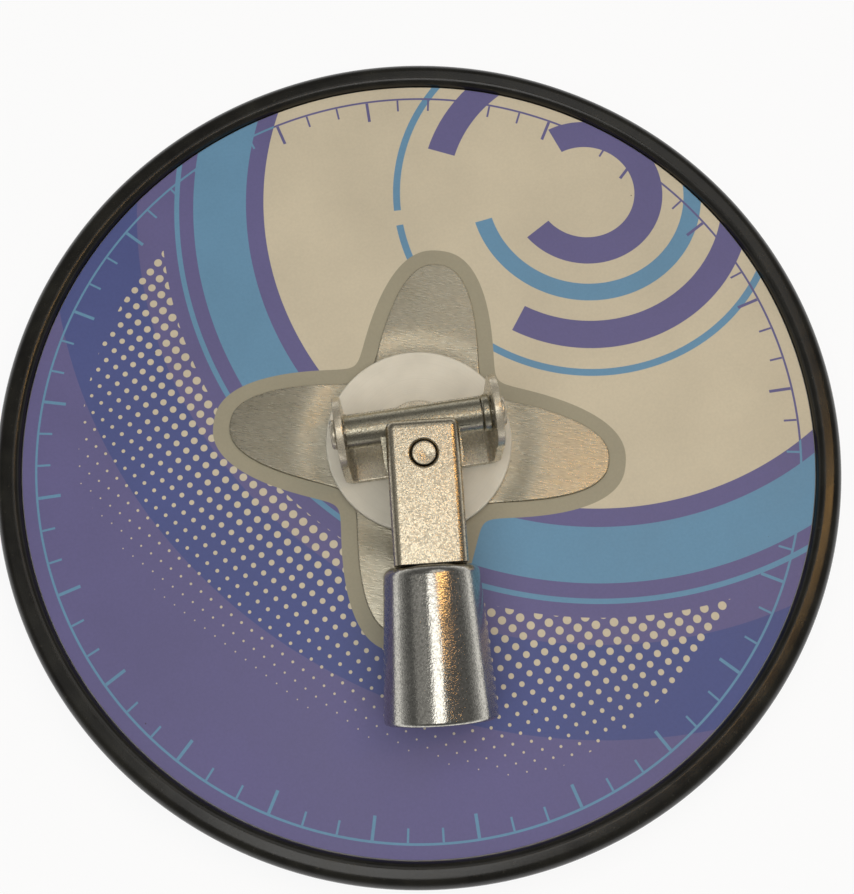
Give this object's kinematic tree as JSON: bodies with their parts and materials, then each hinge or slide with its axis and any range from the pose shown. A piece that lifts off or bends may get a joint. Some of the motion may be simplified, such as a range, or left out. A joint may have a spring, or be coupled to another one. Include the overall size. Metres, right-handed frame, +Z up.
{
  "type": "pole drywall sander head",
  "caption": "Round drywall sander head with a rubber bumper ring, a soft hook-faced pad, a swivelling two-way knuckle and a threaded pole socket.",
  "frame": {"origin": "centre of the pad's underside, where it lies on a surface", "axes": "+Z up out of the printed face, +X along the cross pin, -Y the way the folded pole socket points"},
  "size_m": [0.2286, 0.2286, 0.0468],
  "materials": {
    "hook_tape": "matte",
    "foam": "matte",
    "disc_plastic": "satin",
    "ring_rubber": "gloss",
    "printed_label": "satin",
    "brushed_plate": "satin",
    "hub_plastic": "matte",
    "bush_brass": "satin",
    "zinc_plate": "satin",
    "sleeve_steel": "satin",
    "bright_plate": "polished",
    "washer_nylon": "matte"
  },
  "bodies": {
    "head": {"hook_sheet": "hook_tape", "foam_pad": "foam", "backing_disc": "disc_plastic", "bumper_ring": "ring_rubber", "face_label": "printed_label", "lobed_plate": "brushed_plate", "thrust_washer": "hub_plastic", "swivel_bush": "bush_brass", "swivel_bolt": "zinc_plate", "cap_washer": "zinc_plate", "clamp_washer": "zinc_plate", "lock_nut": "zinc_plate"},
    "bracket": {"clevis_bracket": "zinc_plate", "cross_pin": "sleeve_steel", "spacer_washer": "bright_plate"},
    "tee": {"swivel_tee": "sleeve_steel"},
    "neck": {"neck_fork": "zinc_plate", "neck_rivet": "zinc_plate", "knuckle_washer_upper": "washer_nylon", "knuckle_washer_lower": "washer_nylon", "pole_socket": "bright_plate"}
  },
  "joints": [
    {"name": "head_swivel", "type": "hinge", "parent": "head", "child": "bracket", "pos_m": [0, 0, 0.0191], "axis": [0, 0, 1], "continuous": true},
    {"name": "pole_lift", "type": "hinge", "parent": "bracket", "child": "tee", "pos_m": [0, 0, 0.0374], "axis": [-1, 0, 0], "range_deg": [0, 190]},
    {"name": "pole_sway", "type": "hinge", "parent": "tee", "child": "neck", "pos_m": [0, -0.00896, 0.03655], "axis": [0, -0.0944, 0.9955], "range_deg": [-40, 49]}
  ]
}
